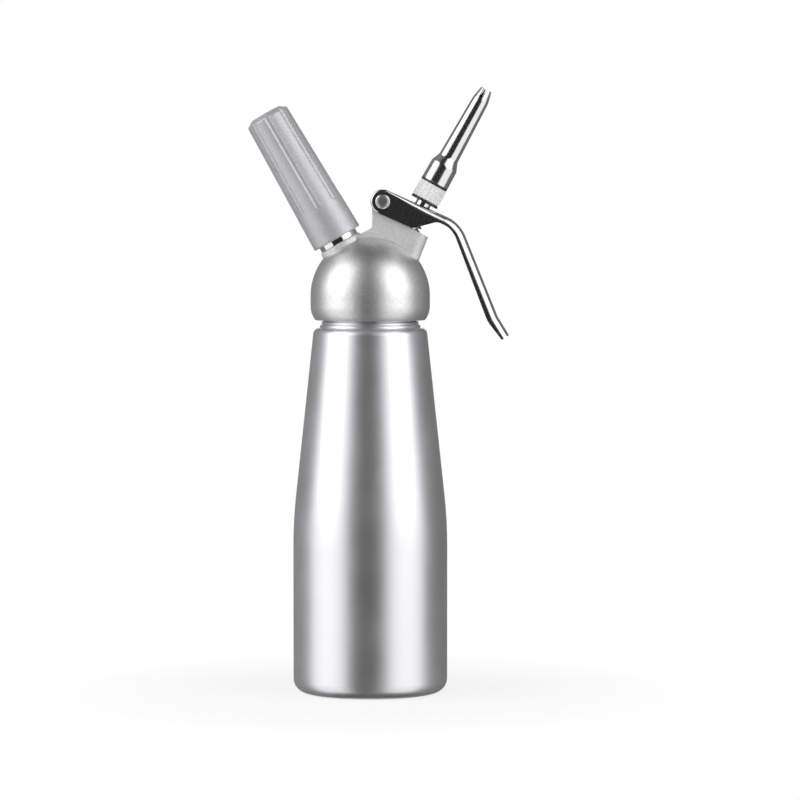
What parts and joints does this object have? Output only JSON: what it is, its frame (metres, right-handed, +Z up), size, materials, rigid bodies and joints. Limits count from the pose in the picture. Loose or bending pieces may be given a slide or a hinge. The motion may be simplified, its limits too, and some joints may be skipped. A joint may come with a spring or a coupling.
{
  "type": "whipped cream dispenser",
  "caption": "Hand-held cream dispenser: tapered metal bottle, screw-on domed head with tilted gas charger holder, squeeze lever, spring valve and slotted decorator tip.",
  "frame": {"origin": "centre of the bottle's foot, on the plane that it stands on", "axes": "+Z up along the bottle's axis, +X towards the lever and the tip, -Y is the side that faces the picture's camera"},
  "size_m": [0.1326, 0.0788, 0.3093],
  "materials": {
    "bottle_aluminium": "satin, fine circumferential brushing",
    "head_aluminium": "fine sand-blasted casting",
    "holder_aluminium": "matte sand-blasted",
    "polished_steel": "polished",
    "tip_steel": "mirror polished",
    "spring_steel": "drawn wire",
    "charger_steel": "zinc plated",
    "lever_chrome": "polished chrome",
    "pin_chrome": "polished chrome",
    "brass": "turned",
    "black_rubber": "matte",
    "silicone": "matte white silicone",
    "white_plastic": "moulded, semi-gloss"
  },
  "bodies": {
    "bottle": {"bottle": "bottle_aluminium"},
    "gasket": {"head_seal": "silicone"},
    "head": {"head": "head_aluminium", "charger_stub": "polished_steel", "pin_carrier": "brass", "piercing_pin": "polished_steel", "charger_seal": "black_rubber", "check_valve_plug": "brass", "check_valve_ball": "polished_steel", "check_valve_spring": "spring_steel", "stem_ring": "black_rubber", "valve_spring": "spring_steel"},
    "charger": {"charger": "charger_steel"},
    "holder": {"charger_holder": "holder_aluminium", "holder_insert": "polished_steel"},
    "lever": {"lever": "lever_chrome", "lever_pin": "pin_chrome", "pin_cap": "pin_chrome"},
    "valve": {"valve_stem": "polished_steel", "valve_seal": "black_rubber", "spring_collar": "polished_steel", "adapter_seal": "black_rubber", "nozzle_adapter": "white_plastic"},
    "tip_ring": {"tip_seal": "black_rubber"},
    "tip": {"decorator_tip": "tip_steel"}
  },
  "joints": [
    {"name": "head_rise", "type": "slide", "parent": "bottle", "child": "gasket", "axis": [0, 0, 1], "range_m": [0, 0.009]},
    {"name": "head_unscrew", "type": "hinge", "parent": "gasket", "child": "head", "pos_m": [0, 0, 0.2031], "axis": [0, 0, 1], "range_deg": [0, 1080]},
    {"name": "charger_rise", "type": "slide", "parent": "head", "child": "charger", "axis": [-0.5, 0, 0.866], "range_m": [0, 0.008]},
    {"name": "holder_unscrew", "type": "hinge", "parent": "charger", "child": "holder", "pos_m": [0, 0, 0.2031], "axis": [-0.5, 0, 0.866], "range_deg": [0, 1440]},
    {"name": "lever_squeeze", "type": "hinge", "parent": "head", "child": "lever", "pos_m": [0.0064, 0, 0.25101], "axis": [0, 1, 0], "range_deg": [0, 8], "stiffness_Nm_per_rad": 1.6, "springref_deg": -8.59},
    {"name": "valve_press", "type": "slide", "parent": "head", "child": "valve", "axis": [-0.4848, 0, -0.8746], "range_m": [0, 0.0026], "deforming": ["valve_spring"]},
    {"name": "tip_rise", "type": "slide", "parent": "valve", "child": "tip_ring", "axis": [0.4848, 0, 0.8746], "range_m": [0, 0.0045]},
    {"name": "tip_unscrew", "type": "hinge", "parent": "tip_ring", "child": "tip", "pos_m": [0, 0, 0.2011], "axis": [0.4848, 0, 0.8746], "range_deg": [0, 1080]}
  ],
  "couplings": [
    {"joint": "head_rise", "follows": "head_unscrew", "m_per_rad": 0.00047746},
    {"joint": "charger_rise", "follows": "holder_unscrew", "m_per_rad": 0.00031831},
    {"joint": "valve_press", "follows": "lever_squeeze", "m_per_rad": 0.0186},
    {"joint": "tip_rise", "follows": "tip_unscrew", "m_per_rad": 0.00023873}
  ]
}
